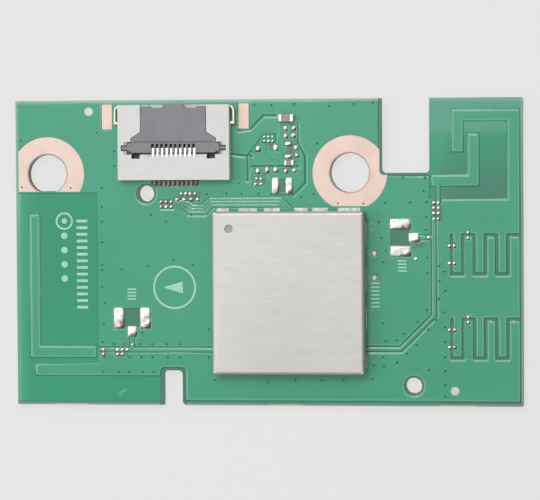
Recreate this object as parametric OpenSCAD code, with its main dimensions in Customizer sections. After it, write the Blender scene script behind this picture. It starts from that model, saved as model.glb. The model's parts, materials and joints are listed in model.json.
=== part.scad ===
// Wireless radio module: a printed board with two printed antennas, a soldered
// shield can over its radio parts and a flip-lock connector for a flat cable.
// Frame: the board lies on XY with its underside at z = 0, the components face +Z,
// the cable leaves towards +Y, and the origin is the middle of the board's outline.

/* [Board] */
// Length of the board along X
board_w = 55; // [54:0.1:58]
// Width of the board along Y
board_d = 33; // [32:0.1:35]
// Thickness of the glass-fibre laminate
board_t = 1.2; // [0.8:0.1:1.6]
// Radius of the board's outer corners
corner_r = 0.15; // [0.1:0.05:0.6]
// Width of the notch beside the right antenna
notch_w = 5.15; // [4.6:0.05:5.3]
// Depth of that notch from the far edge
notch_d = 8; // [7.8:0.1:8.4]
// Width of the board's tab that carries the right antenna
tab_w = 9.95; // [9.8:0.05:10.1]
// Width of the slot in the near edge
slot_w = 2.1; // [1.5:0.1:2.4]
// Depth of that slot
slot_d = 3.75; // [2.5:0.05:3.9]
// Distance from the left edge to the middle of that slot
slot_x = 17.15; // [16.9:0.05:17.6]

/* [Mounting holes] */
// Diameter of the two screw holes
screw_hole_d = 4.2; // [3.2:0.1:4.4]
// Distance from the right screw hole to the notch
screw_notch = 3.4; // [3.3:0.05:3.6]
// Distance from the left edge to the left screw hole
screw_inset_x = 3.5; // [3.4:0.05:3.8]
// Distance from the far edge to both screw holes
screw_inset_y = 7.95; // [7.8:0.05:8.2]
// Diameter of the bare copper round a screw hole
screw_land_d = 8.1; // [7:0.1:8.4]
// Diameter of the two locating holes
locating_hole_d = 1.75; // [1.2:0.05:1.9]

/* [Copper] */
// Height of the copper foil with its solder mask
foil_t = 0.06; // [0.05:0.01:0.1]
// Height of the bare copper lands
bare_t = 0.04; // [0.03:0.01:0.05]
// Distance from the foil to the board's edges
edge_gap = 0.35; // [0.2:0.05:0.5]
// Width of the antenna feed lines
feed_w = 0.3; // [0.2:0.05:0.35]
// Gap beside a feed line
feed_gap = 0.2; // [0.15:0.05:0.25]
// Width of the data lines
line_w = 0.18; // [0.14:0.02:0.2]
// Distance between neighbouring data lines
line_pitch = 0.35; // [0.32:0.01:0.38]
// Width of the meander slots and moats
moat_w = 0.35; // [0.25:0.05:0.45]
// Ring of bare laminate round a land
mask_gap = 0.1; // [0.06:0.02:0.14]

/* [Left antenna] */
// Width of its standing arm
left_arm_w = 1.1; // [0.9:0.05:1.3]
// Length of its standing arm
left_arm_l = 15.55; // [14:0.05:16.5]
// Width of its lying arm
left_foot_w = 1.25; // [1:0.05:1.3]
// Width of the strip without copper that holds it
left_clear_w = 9; // [8.7:0.05:9.2]

/* [Right antenna] */
// Width of its arms
right_arm_w = 1.2; // [1:0.05:1.3]
// Height that the fed arm reaches
right_arm_l = 5.55; // [5:0.05:5.8]
// Length of its lying arm
right_foot_l = 5.1; // [4.8:0.05:5.2]

/* [Shield can] */
// Width of the can
can_w = 16.4; // [16.2:0.1:16.8]
// Depth of the can
can_d = 17.5; // [17.2:0.1:17.7]
// Height of the can
can_h = 2; // [1.6:0.1:2.6]
// Thickness of its sheet metal
can_t = 0.2; // [0.12:0.02:0.26]
// Outer radius of its bends
can_bend = 0.35; // [0.28:0.01:0.5]
// Length of the open slit at each corner
can_slit = 0.4; // [0.35:0.05:0.6]

/* [Cable connector] */
// Number of contacts
ways = 10; // [6:1:10]
// Distance between neighbouring contacts
pitch = 0.5; // [0.5:0.01:0.52]
// Width of the housing
conn_w = 12.15; // [12:0.05:12.4]
// Depth of the housing
conn_d = 8.1; // [8:0.05:8.2]
// Height of the housing
conn_h = 1.35; // [1.3:0.05:1.8]
// Thickness of the housing's floor
floor_t = 0.35; // [0.32:0.01:0.4]
// Height of the cable slot under the latch
slot_h = 0.35; // [0.3:0.01:0.4]
// Radius of the latch's trunnions
trunnion_r = 0.25; // [0.2:0.01:0.26]
// Running gap round the latch
latch_gap = 0.05; // [0.03:0.01:0.07]
// Thickness of a contact
contact_t = 0.26; // [0.18:0.01:0.28]

/* [Hidden] */

mask_green = [0.35, 0.65, 0.51];
bare_green = [0.27, 0.56, 0.43];
copper = [0.93, 0.82, 0.76];
tin = [0.86, 0.87, 0.86];
steel = [0.83, 0.82, 0.80];
ceramic = [0.72, 0.66, 0.63];
black = [0.13, 0.13, 0.14];
ink = [0.72, 0.92, 0.84];

// Places are measured from the board's four edges.
edge_l = -board_w / 2;
edge_r = board_w / 2;
edge_n = -board_d / 2;
edge_f = board_d / 2;
top_z = board_t + foil_t;
eps = 0.01;
fine = 48;
round_n = 24;

screw_l = [edge_l + screw_inset_x, edge_f - screw_inset_y];
screw_r = [edge_r - tab_w - notch_w - screw_notch, edge_f - screw_inset_y];
locating_l = [edge_l + 14.35, edge_f - 10.1];
locating_r = [edge_r - 11.7, edge_n + 2.2];
notch_r = edge_r - tab_w;
notch_x = notch_r - notch_w / 2;
near_slot_x = edge_l + slot_x;
cutter_r = 0.45;

// Strips without copper round the two antennas
left_clear_x = edge_l + left_clear_w;
left_clear_f = edge_f - 9.95;
left_clear_n = edge_n + 3.2;
// The foil stops further from the near edge, where the board is broken out of its panel
near_gap = edge_gap + 0.2;
right_clear_x = notch_r - 0.05;
right_clear_n = edge_f - 10.8;
ground_bar_w = 1.25;

// Shield can
can_c = [edge_r - 25, edge_n + 12.2];
can_l = can_c[0] - can_w / 2;
can_r = can_c[0] + can_w / 2;
can_f = can_c[1] + can_d / 2;
can_n = can_c[1] - can_d / 2;
foot_rise = 0.2;
land_out = 0.35;
land_side = 0.06;
land_in = 0.5;
// Middle and length of each solder land along the can's four sides
far_lands = [[-7.3, 1.3], [-4.6, 2], [-1.95, 1.7], [1.2, 1.5], [3.25, 1.7], [6.4, 2.4]];
near_lands = [[-6.4, 2], [-2.2, 2.6], [2.2, 2.6], [6.4, 2]];
left_lands = [[-7.2, 1.6], [-2.4, 2.4], [1.6, 2.2], [6.4, 2.6]];
right_lands = [[-7.4, 1.4], [-2.6, 2.4], [1.4, 2.4], [6.2, 2.6]];

// Cable connector: its own axes start at the middle of its rear face
conn_c = [edge_l + 17.58, edge_f - 0.53 - conn_d];
plate_half = 3.55;
shoulder_half = 4.6;
plate_v = 5.15;
shoulder_v = 4.5;
bar_v = 2.95;
plate_end_v = conn_d - 0.35;
wing_end_v = conn_d - 0.17;
wing_half = 2.48;
tongue_half = 1;
pivot_v = bar_v + 0.5;
pivot_w = conn_h - 0.35;
plate_w0 = floor_t + slot_h;
comb_v = pivot_v + 0.45;
pocket_half = conn_w / 2 - 0.4;
cable_half = (ways + 1) * pitch / 2;
contact_slot = contact_t + 0.06;
tail_l = 0.55;
// Square stub at each end of the latch bar, between the bar and its trunnion
stub_l = 0.42;
stub_v = [bar_v + 0.15, bar_v + 1.05];
stub_pocket_v = [bar_v - 0.2, bar_v + 1.15];
stub_pocket_w = 0.48;

// Antennas and their lines
left_arm_c = edge_l + 2;
left_foot_n = edge_n + 5.15;
left_foot_f = left_foot_n + left_foot_w;
left_feed_y = left_foot_f - 0.4;
right_foot_x = notch_r + 0.2;
right_foot_n = right_clear_n + 1.4;
right_feed_x = edge_r - 9.5;
right_feed_y = edge_n + 6.15;
stub_x = right_feed_x + 0.5;
left_feed = [[left_clear_x + 0.15, left_feed_y], [can_l + 1.2, left_feed_y]];
feed_turn = [right_feed_x - 3.6, right_feed_y];
right_feed = [[can_r - 1.2, right_feed_y], feed_turn, feed_turn + [3.6, 3.6],
    [right_feed_x, right_clear_n - 2.1]];
probe_r = [edge_r - 13.1, edge_f - 14.9];
probe_l = [edge_l + 12.7, edge_n + 9.45];
probe_line_r = [probe_r + [1.5, 0], [right_feed_x, probe_r[1]]];
probe_line_l = [probe_l - [0, 1.5], [probe_l[0], left_feed_y]];

// Data lines from the connector to the can
bus_y = can_f + 1.31;
bus_x = can_c[0] + 0.15;
bus_lines = [for (i = [0 : 2]) let (y = bus_y - i * line_pitch, k = i * 0.15) [
    [conn_c[0] + 0.45 - i * 0.5, conn_c[1] - 2.35],
    [conn_c[0] + 1.8 - i * 0.15 - 0.4, y - 0.75 + 0.35],
    [conn_c[0] + 1.8 - i * 0.15, y - 0.75],
    [can_l - 1.3 + k, y - 0.75],
    [can_l - 0.55 + k, y],
    [bus_x - 1.05 - k, y],
    [bus_x - i * line_pitch, y - 1.05 + i * 0.2],
    [bus_x - i * line_pitch, can_f - 0.8]]];

// Meander slots that keep the two antennas apart
meander_pitch = 1.2;
meander_turns = 6;
meander_h = 4.15;
meander_x = edge_r - 7.6;
meander_n = [edge_n + 14.2, edge_n + 5.2];
function meander(n) = concat(
    [for (i = [0 : meander_turns - 1]) let (x = meander_x + i * meander_pitch, up = i % 2)
        each [[x, n + (up ? 0 : meander_h)], [x, n + (up ? meander_h : 0)]]],
    [[edge_r - edge_gap, n + meander_h]]);

// Bank of small parts between the connector and the right screw hole
bank = [edge_l + 29.5, edge_f - 5.5];
input_cap = bank + [0.22, 3.45];
filter_cap = bank + [0.5, -1.35];
// Middle and size of each empty solder land of the bank
bank_lands = [
    [[0.1, 2.4], [0.4, 0.5]], [[1, 2.4], [0.45, 0.5]],
    [[0.1, 1.55], [0.45, 0.5]], [[0.95, 1.6], [0.5, 0.5]],
    [[0.35, 0.7], [0.7, 0.45]], [[1.2, 0.3], [0.45, 0.45]],
    [[0.35, -0.65], [0.8, 0.4]], [[1.3, -0.55], [0.4, 0.4]],
    [[-2.9, 0.2], [0.45, 0.6]], [[-1, 0.3], [0.5, 0.65]],
    [[-2.95, -2.2], [0.45, 0.55]], [[-1.95, -2.1], [0.4, 0.7]], [[-1, -2.1], [0.5, 0.55]],
    [[0.1, -2.2], [0.45, 0.5]], [[1, -2.15], [0.5, 0.45]],
    [[-3.1, -3.05], [0.3, 0.3]], [[-2.6, -3.05], [0.3, 0.3]],
    [[-3.2, -3.6], [0.35, 0.25]], [[-2.6, -3.6], [0.35, 0.25]],
    for (row = [1, 1.45], col = [-2.2, -1.75, -1.3]) [[col, row], [0.25, 0.25]]];
inductor_land = [0.65, 1.7];
inductor_lands_x = [-1.05, 0.45];
inductor_lands_y = -3.8;
// Small lands round the connector's tails
tail_lands = [
    for (i = [0 : 3]) [[0.6 + i * 0.5, -1.5], [0.28, 0.35]],
    for (i = [0 : 3]) [[0.15 + i * 0.75, -2.1], [0.36, 0.34]],
    for (row = [-2.35, -2.9], i = [0 : 2]) [[-1.6 + i * 0.55, row], [0.3, 0.3]]];
// Small lands of the two matching networks and of the meander bridges
small_land = [0.32, 0.32];
left_match = [
    for (x = [0.5, 2.05, 2.6], y = [-0.5, 0]) [left_clear_x + x, left_feed_y + y],
    [left_clear_x + 3.15, left_feed_y], [left_clear_x + 3.75, left_feed_y + 0.55]];
right_match = [
    for (x = [0, 0.5], y = [-0.4, -0.95, -1.5, -2.1])
        [right_feed_x + x, right_clear_n + y],
    [right_feed_x - 0.55, probe_r[1]]];
bridge_lands = [for (n = meander_n) each [
    [meander_x - 0.26, n + 3], [meander_x + 0.28, n + 3],
    [meander_x - 0.26, n + 1.15], [meander_x + 0.28, n + 1.15],
    [meander_x + 1.75, n + 4.4], [meander_x + 1.75, n + 3.85]]];

// Marks in ink
ring_c = [edge_l + 17.4, edge_n + 12.75];
ring_r = 2.35;
small_ring_c = [edge_l + 5.3, edge_f - 13.05];
small_ring_r = 0.95;
ink_w = 0.2;
ink_t = 0.02;

// ---------- shapes used by many parts ----------

module rounded(w, d, r)
    for (s = [[w, d - 2 * r], [w - 2 * r, d]]) {
        square(s, center = true);
        for (x = [-1, 1], y = [-1, 1])
            translate([x * (w / 2 - r), y * (d / 2 - r)]) circle(r, $fn = round_n);
    }

// A round-cornered opening that comes in by depth from an edge at y = 0 and points to +Y
module mouth(w, depth, r) {
    translate([-w / 2, r - depth]) square([w, depth - r + 1]);
    translate([r - w / 2, -depth]) square([w - 2 * r, r + 1]);
    for (x = [-1, 1])
        translate([x * (w / 2 - r), r - depth]) circle(r, $fn = round_n);
}

// A copper track of even width with round bends
module track(points, width) {
    for (i = [0 : len(points) - 2])
        let (a = points[i], d = points[i + 1] - a)
            translate(a) rotate(atan2(d[1], d[0]))
                translate([0, -width / 2]) square([norm(d), width]);
    for (p = points)
        translate(p) circle(d = width, $fn = round_n);
}

module lands(list, grow = 0)
    for (l = list)
        translate(l[0]) square(l[1] + [2 * grow, 2 * grow], center = true);

module dots(list, grow = 0)
    for (p = list)
        translate(p) square(small_land + [2 * grow, 2 * grow], center = true);

module on_board(height)
    translate([0, 0, board_t]) linear_extrude(height) children();

module box(size)
    translate([0, 0, size[2] / 2]) cube(size, center = true);

// ---------- board ----------

module notch_shape(grow = 0)
    translate([notch_x, edge_f]) mouth(notch_w + 2 * grow, notch_d + grow, cutter_r);

module near_slot_shape(grow = 0)
    translate([near_slot_x, edge_n]) rotate(180)
        mouth(slot_w + 2 * grow, slot_d + grow, cutter_r);

module board()
    color(bare_green) difference() {
        linear_extrude(board_t) difference() {
            rounded(board_w, board_d, corner_r);
            notch_shape();
            near_slot_shape();
            // Broken corner at the mouth of the near slot
            translate([near_slot_x + slot_w / 2, edge_n]) rotate(45)
                square(0.4, center = true);
        }
        for (p = [screw_l, screw_r])
            translate([p[0], p[1], -1]) cylinder(d = screw_hole_d, h = board_t + 2, $fn = fine);
        for (p = [locating_l, locating_r])
            translate([p[0], p[1], -1]) cylinder(d = locating_hole_d, h = board_t + 2, $fn = fine);
    }

// ---------- copper under the solder mask ----------

module ground_outline() difference() {
    translate([edge_l + edge_gap, edge_n + near_gap])
        square([board_w - 2 * edge_gap, board_d - edge_gap - near_gap]);
    notch_shape(edge_gap);
    near_slot_shape(edge_gap);
    // Left antenna strip, which runs on under the lying arm to the near slot
    translate([edge_l - 1, edge_n - 1])
        square([left_clear_w + 1, left_clear_f - edge_n + 1]);
    translate([edge_l - 1, edge_n - 1]) square([slot_x + 1, left_clear_n - edge_n + 1]);
    // Right antenna tab
    translate([right_clear_x, right_clear_n])
        square([edge_r - right_clear_x + 1, edge_f - right_clear_n + 1]);
}

// Grounded strip that folds round the fed arm of the right antenna
module ground_strip() {
    x0 = edge_r - 1.6;
    x1 = edge_r - 7.55;
    translate([x0, right_clear_n - eps]) square([1.25, edge_f - 1.25 - right_clear_n]);
    translate([x1, edge_f - 1.25 - right_arm_w]) square([edge_r - edge_gap - x1, right_arm_w]);
    translate([x1, edge_f - 5.75]) square([right_arm_w, 4.5]);
}

module ground_bar()
    translate([edge_l + 2, left_clear_n])
        square([left_clear_w - 2 + eps, ground_bar_w]);

module screw_land_shape(c, flat_y) intersection() {
    translate(c) circle(d = screw_land_d, $fn = fine);
    translate([edge_l + 0.3, flat_y]) square([board_w, board_d]);
    difference() {
        square([board_w, board_d], center = true);
        notch_shape(0.2);
    }
}

module left_screw_shape() screw_land_shape(screw_l, left_clear_f + 0.05);
module right_screw_shape() screw_land_shape(screw_r, can_f + 0.5);

module connector_land_shape(grow = 0)
    for (side = [-1, 1])
        translate([conn_c[0] + side * (conn_w / 2 + 1.4), edge_f - 1.8])
            square([1.1 + 2 * grow, 2.7 + 2 * grow], center = true);

module shield_land_shape(grow = 0) {
    far = (land_out - land_in) / 2;
    side = (land_side - land_in) / 2;
    far_depth = land_out + land_in + 2 * grow;
    side_depth = land_side + land_in + 2 * grow;
    for (l = far_lands)
        translate([can_c[0] + l[0], can_f + far])
            square([l[1] + 2 * grow, far_depth], center = true);
    for (l = near_lands)
        translate([can_c[0] + l[0], can_n - side])
            square([l[1] + 2 * grow, side_depth], center = true);
    for (l = left_lands)
        translate([can_l - side, can_c[1] + l[0]])
            square([side_depth, l[1] + 2 * grow], center = true);
    for (l = right_lands)
        translate([can_r + side, can_c[1] + l[0]])
            square([side_depth, l[1] + 2 * grow], center = true);
}

// Places of the two coax probe sockets, which are left empty: lands and bare square
probe_lands = [[[0, 1.45], [2.2, 1.05]], [[0, -1.45], [2.2, 1.05]], [[1.45, 0], [1.05, 0.9]]];
module probe_shape(grow = 0) lands(probe_lands, grow);
module probe_window() square([2.1, 1.85], center = true);

module tail_land_shape(grow = 0)
    for (i = [0 : ways - 1])
        translate([conn_c[0] + (i - (ways - 1) / 2) * pitch, conn_c[1] - tail_l / 2 - 0.05])
            square([contact_t + 0.06 + 2 * grow, tail_l + 0.2 + 2 * grow], center = true);

module inductor_land_shape(grow = 0)
    for (x = inductor_lands_x)
        translate(bank + [x, inductor_lands_y])
            square(inductor_land + [2 * grow, 2 * grow], center = true);

fiducial_places = [[edge_l + 8.1, edge_f - 1.2], [edge_r - 7.3, edge_n + 1.65]];
fiducial_d = 0.8;
test_places = [[can_r + 0.9, edge_f - 16.6], [can_r + 0.9, edge_f - 19.2]];
test_d = 0.5;

module discs(places, d)
    for (p = places)
        translate(p) circle(d = d, $fn = round_n);

// Moats that part the supply copper of the bank from the ground
module moats() {
    w = line_w + 0.04;
    translate(bank) {
        track([[-4.05, -3.2], [-4.05, -0.6], [-2.3, 1.7], [-1, 1.7], [-1, 0.85]], w);
        track([[-1.6, -4.8], [0.9, -4.8], [2.2, -3.5], [2.2, -0.7], [1.4, 0.8], [1.4, 2.9]], w);
        track([[-3.6, -1.7], [1.5, -1.7]], w);
    }
    track([conn_c + [conn_w / 2, 2.75], bank + [-3.6, -0.6]], w);
    track([input_cap + [-1.2, 0.3], input_cap + [-2.5, 0.3],
        input_cap + [-3.9, -1.1], input_cap + [-5.2, -1.3]], w);
}

module ground_shape() difference() {
    union() {
        ground_outline();
        ground_strip();
        ground_bar();
    }
    left_screw_shape();
    right_screw_shape();
    connector_land_shape(mask_gap);
    shield_land_shape(eps);
    discs(fiducial_places, fiducial_d + 0.6);
    discs(test_places, test_d + 2 * mask_gap);
    discs([locating_l, locating_r], locating_hole_d + 0.4);
    track(left_feed, feed_w + 2 * feed_gap);
    track(right_feed, feed_w + 2 * feed_gap);
    track(probe_line_l, feed_w + 2 * feed_gap);
    track(probe_line_r, feed_w + 2 * feed_gap);
    for (line = bus_lines) track(line, 2 * line_pitch - line_w);
    for (n = meander_n) track(meander(n), moat_w);
    moats();
    translate(bank) lands(bank_lands, mask_gap);
    inductor_land_shape(mask_gap);
    translate(bank + [-0.3, inductor_lands_y]) square([0.9, 1.5], center = true);
    translate(conn_c) lands(tail_lands, mask_gap);
    tail_land_shape(0.05);
    dots(left_match, mask_gap);
    dots(right_match, mask_gap);
    dots(bridge_lands, mask_gap);
    translate([stub_x, right_clear_n]) square([feed_w + 2 * feed_gap, 1], center = true);
    translate(probe_r) {
        probe_shape(mask_gap);
        probe_window();
    }
    translate(probe_l) rotate(-90) {
        probe_shape(mask_gap);
        probe_window();
    }
}

module ground_foil() color(mask_green) on_board(foil_t) ground_shape();

module left_antenna() color(mask_green) on_board(foil_t) {
    translate([left_arm_c - left_arm_w / 2, left_foot_n]) square([left_arm_w, left_arm_l]);
    translate([left_arm_c - left_arm_w / 2, left_foot_n])
        square([left_clear_x - 0.3 - left_arm_c + left_arm_w / 2, left_foot_w]);
}

module right_antenna() color(mask_green) on_board(foil_t) {
    translate([right_foot_x, right_foot_n]) square([right_foot_l, right_arm_w]);
    translate([right_foot_x + right_foot_l - right_arm_w, right_foot_n])
        square([right_arm_w, right_arm_l]);
    translate([stub_x - feed_w / 2, right_clear_n - 0.2])
        square([feed_w, right_foot_n - right_clear_n + 0.2 + eps]);
}

// A line's own copper, without the solder lands that stand in it
module line_foil(paths, width) on_board(foil_t) difference() {
    for (p = paths) track(p, width);
    dots(left_match, eps);
    dots(right_match, eps);
    translate(probe_r) probe_shape(eps);
    translate(probe_l) rotate(-90) probe_shape(eps);
    translate(conn_c) lands(tail_lands, eps);
}

module left_feed_line() color(mask_green) line_foil([left_feed, probe_line_l], feed_w);
module right_feed_line() color(mask_green) line_foil([right_feed, probe_line_r], feed_w);
module data_lines() color(mask_green) line_foil(bus_lines, line_w);

// ---------- bare and tinned lands ----------

module screw_land(c) on_board(bare_t) difference() {
    children();
    translate(c) circle(d = screw_hole_d, $fn = fine);
}

module left_screw_land() color(copper) screw_land(screw_l) left_screw_shape();
module right_screw_land() color(copper) screw_land(screw_r) right_screw_shape();
module connector_lands() color(copper) on_board(bare_t) connector_land_shape();
module fiducials() color(copper) on_board(bare_t) discs(fiducial_places, fiducial_d);
module test_points() color(copper) on_board(bare_t) discs(test_places, test_d);

module tinned_lands() color(tin) on_board(foil_t) {
    translate(bank) lands(bank_lands);
    translate(conn_c) lands(tail_lands);
    tail_land_shape();
    dots(left_match);
    dots(right_match);
    dots(bridge_lands);
}

module left_probe_lands() color(tin) on_board(foil_t) translate(probe_l) rotate(-90) probe_shape();
module right_probe_lands() color(tin) on_board(foil_t) translate(probe_r) probe_shape();
module inductor_lands() color(tin) on_board(foil_t) inductor_land_shape();
module shield_lands() color(tin) on_board(foil_t) shield_land_shape();

// ---------- shield can ----------

// Section of a lid edge bent down into a wall: the wall stands at x = 0 and below y = 0
module bend_section(drop) {
    inner = can_bend - can_t;
    translate([0, -drop]) square([can_t, drop - can_bend]);
    translate([can_bend, -can_bend]) intersection() {
        difference() {
            circle(can_bend, $fn = fine);
            circle(inner, $fn = fine);
        }
        translate([-can_bend, 0]) square(can_bend);
    }
}

// One wall of the can, along +Y on the can's left side, with feet at the listed lands
module can_wall(length, feet) {
    drop = can_h - foot_rise;
    translate([0, length / 2 - can_slit, 0]) rotate([90, 0, 0])
        linear_extrude(length - 2 * can_slit) bend_section(drop);
    for (f = feet)
        intersection() {
            translate([can_t / 2, f[0], -can_h / 2 - drop / 4])
                cube([can_t, f[1], can_h - drop / 2], center = true);
            translate([-eps, can_slit - length / 2, -can_h])
                cube([can_t + 2 * eps, length - 2 * can_slit, can_h]);
        }
}

module shield_can() color(steel) translate([can_c[0], can_c[1], top_z + can_h]) difference() {
    union() {
        translate([0, 0, -can_t])
            linear_extrude(can_t)
                square([can_w - 2 * can_bend, can_d - 2 * can_bend], center = true);
        translate([-can_w / 2, 0, 0]) can_wall(can_d, left_lands);
        translate([can_w / 2, 0, 0]) mirror([1, 0, 0]) can_wall(can_d, right_lands);
        translate([0, can_d / 2, 0]) rotate(-90) can_wall(can_w, far_lands);
        translate([0, -can_d / 2, 0]) rotate(90)
            can_wall(can_w, [for (l = near_lands) [-l[0], l[1]]]);
    }
    // Pressed mark that shows which way round the can goes
    translate([1.85 - can_w / 2, can_d / 2 - 1.85, -can_t / 2]) cylinder(r = 0.43, h = 1, $fn = fine);
}

// ---------- parts under the can ----------

chip_w = 8;
chip_h = 0.85;
chip_c = can_c + [0, -1.2];
lead_pitch = 0.5;
lead_count = 14;
lead_size = [0.25, 0.45, 0.2];

module radio_chip() color(black) translate([chip_c[0], chip_c[1], top_z + 0.02]) difference() {
    linear_extrude(chip_h) difference() {
        square(chip_w, center = true);
        for (a = [0 : 90 : 270], i = [0 : lead_count - 1]) rotate(a)
            translate([(i - (lead_count - 1) / 2) * lead_pitch, -chip_w / 2])
                square([lead_size[0], 2 * lead_size[1]], center = true);
    }
    translate([0.8 - chip_w / 2, chip_w / 2 - 0.8, chip_h - 0.05])
        cylinder(r = 0.25, h = 1, $fn = round_n);
}

module radio_chip_leads() color(tin) translate([chip_c[0], chip_c[1], top_z])
    for (a = [0 : 90 : 270], i = [0 : lead_count - 1]) rotate(a)
        translate([(i - (lead_count - 1) / 2) * lead_pitch,
                lead_size[1] / 2 - chip_w / 2, 0])
            box(lead_size);

crystal_c = [can_r - 3.2, can_f - 3.15, top_z];
crystal_size = [3.2, 2.5, 0.5];

module crystal_base() color(ceramic) translate(crystal_c) linear_extrude(crystal_size[2])
    difference() {
        square([crystal_size[0], crystal_size[1]], center = true);
        // Quarter-round solder castellations at the corners
        for (x = [-1, 1], y = [-1, 1])
            translate([x * crystal_size[0] / 2, y * crystal_size[1] / 2])
                circle(0.2, $fn = round_n);
    }

module crystal_lid() color(steel) translate(crystal_c + [0, 0, crystal_size[2]])
    linear_extrude(0.15) rounded(crystal_size[0] - 0.6, crystal_size[1] - 0.6, 0.25);

inductor_c = [can_c[0] - 0.6, can_f - 2.95, top_z];
inductor_size = [3, 3, 1.2];
end_l = 0.6;

module power_inductor() color([0.35, 0.34, 0.35]) translate(inductor_c) difference() {
    box(inductor_size);
    for (x = [-1, 1])
        translate([x * (inductor_size[0] - end_l) / 2, 0, -eps])
            cube([end_l + eps, 2 * inductor_size[1], 0.4], center = true);
}

module inductor_ends() color(tin) translate(inductor_c)
    for (x = [-1, 1])
        translate([x * (inductor_size[0] - end_l) / 2, 0, 0])
            box([end_l - eps, inductor_size[1] - 0.4, 0.19]);

module antenna_amplifiers() color(black)
    for (side = [-1, 1])
        translate([can_c[0] + side * (can_w / 2 - 2.2), can_c[1] - 4, top_z]) difference() {
            box([2.5, 2.5, 0.75]);
            translate([-0.9, 0.9, 0.7]) cylinder(r = 0.15, h = 1, $fn = round_n);
        }

module memory_chip() color(black) translate([can_l + 2.6, can_f - 2.95, top_z])
    difference() {
        box([3, 2, 0.55]);
        translate([-1.1, 0.6, 0.5]) cylinder(r = 0.2, h = 1, $fn = round_n);
    }

// Two-ended chip capacitor: a ceramic body between two plated ends
module chip_body(l, w, h, end) translate([0, 0, 0.02]) box([l - 2 * end, w - 0.04, h - 0.04]);
module chip_ends(l, w, h, end)
    for (x = [-1, 1]) translate([x * (l - end) / 2, 0, 0]) box([end, w, h]);

supply_places = [
    for (i = [0 : 5]) [[-3.5 + i * 1.4, 3.45], 90],
    for (i = [0 : 4]) [[-5.8, 3.6 - i * 1.2], 0],
    for (i = [0 : 4]) [[5.8, 3 - i * 1.2], 0],
    for (i = [0 : 5]) [[-3.5 + i * 1.4, -6.5], 90]];

module at_supply_places()
    for (p = supply_places)
        translate([can_c[0] + p[0][0], can_c[1] + p[0][1], top_z]) rotate(p[1]) children();

module supply_capacitors() color(ceramic) at_supply_places() chip_body(1, 0.5, 0.5, 0.22);
module supply_capacitor_ends() color(tin) at_supply_places() chip_ends(1, 0.5, 0.5, 0.22);

// ---------- cable connector ----------

module at_connector() translate([conn_c[0], conn_c[1], top_z]) children();

// Plan of the latch without its tongue and trunnions
module latch_plan(grow = 0) {
    p = plate_half + grow;
    s = shoulder_half + grow;
    polygon([[-s, bar_v - grow], [s, bar_v - grow], [s, shoulder_v + grow * 0.4],
        [p, plate_v + grow * 0.4], [p, conn_d + 1], [-p, conn_d + 1],
        [-p, plate_v + grow * 0.4], [-s, shoulder_v + grow * 0.4]]);
}

module each_way()
    for (i = [0 : ways - 1])
        translate([(i - (ways - 1) / 2) * pitch, 0, 0]) children();

module connector_housing() color([0.87, 0.87, 0.86]) at_connector() difference() {
    translate([-conn_w / 2, 0, 0]) cube([conn_w, conn_d, conn_h]);
    // Well that the latch lies in, and the cable slot under it
    translate([0, 0, plate_w0 - latch_gap]) linear_extrude(conn_h) latch_plan(latch_gap);
    translate([-cable_half - 0.05, bar_v - 1.3, floor_t]) cube([2 * cable_half + 0.1, conn_d, conn_h / 2]);
    // Room behind the latch bar, which swings down as the latch opens
    translate([-shoulder_half - latch_gap, bar_v - 0.2, floor_t])
        cube([2 * (shoulder_half + latch_gap), 1.4, conn_h]);
    // Pockets for the stubs at the ends of the bar, with a shallow step beyond them
    for (x = [-1, 1], step = [0, 1])
        translate([x * (shoulder_half + (stub_l + 0.08) / 2 + step * 0.3),
                (stub_pocket_v[0] + stub_pocket_v[1]) / 2,
                step * (conn_h - 0.12) + (1 - step) * stub_pocket_w])
            translate([0, 0, conn_h / 2])
                cube([stub_l + 0.08, stub_pocket_v[1] - stub_pocket_v[0], conn_h], center = true);
    // Slots for the trunnions, open to the top
    for (x = [-1, 1])
        translate([x * (shoulder_half + pocket_half) / 2, pivot_v, pivot_w]) {
            rotate([0, 90, 0])
                cylinder(r = trunnion_r + latch_gap, h = pocket_half - shoulder_half + 2 * latch_gap,
                    center = true, $fn = fine);
            translate([0, 0, conn_h / 2])
                cube([pocket_half - shoulder_half + 2 * latch_gap,
                    2 * (trunnion_r + latch_gap), conn_h], center = true);
        }
    // Two open pockets behind the bar, where the mould's cores came in
    for (x = [-1, 1])
        translate([x * 4.1, bar_v - 0.36, conn_h]) cube([0.9, 0.56, 2.3], center = true);
    // The rear wall's top stops short of the bar where the contacts' upper arms come out
    translate([-cable_half, bar_v - 0.42, conn_h - 0.2]) cube([2 * cable_half, 0.6, 1]);
    // A groove for each contact, through the rear wall and along the floor
    each_way() {
        translate([-contact_slot / 2, -1, -1]) cube([contact_slot, bar_v + 0.2 + 1, conn_h + 0.85]);
        translate([-contact_slot / 2, 0, -1]) cube([contact_slot, 6.2, floor_t + 1 + eps]);
    }
    // Lead-in at the cable's mouth
    translate([0, conn_d, floor_t]) rotate([45, 0, 0])
        cube([2 * cable_half + 0.1, 0.25, 0.25], center = true);
}

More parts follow.
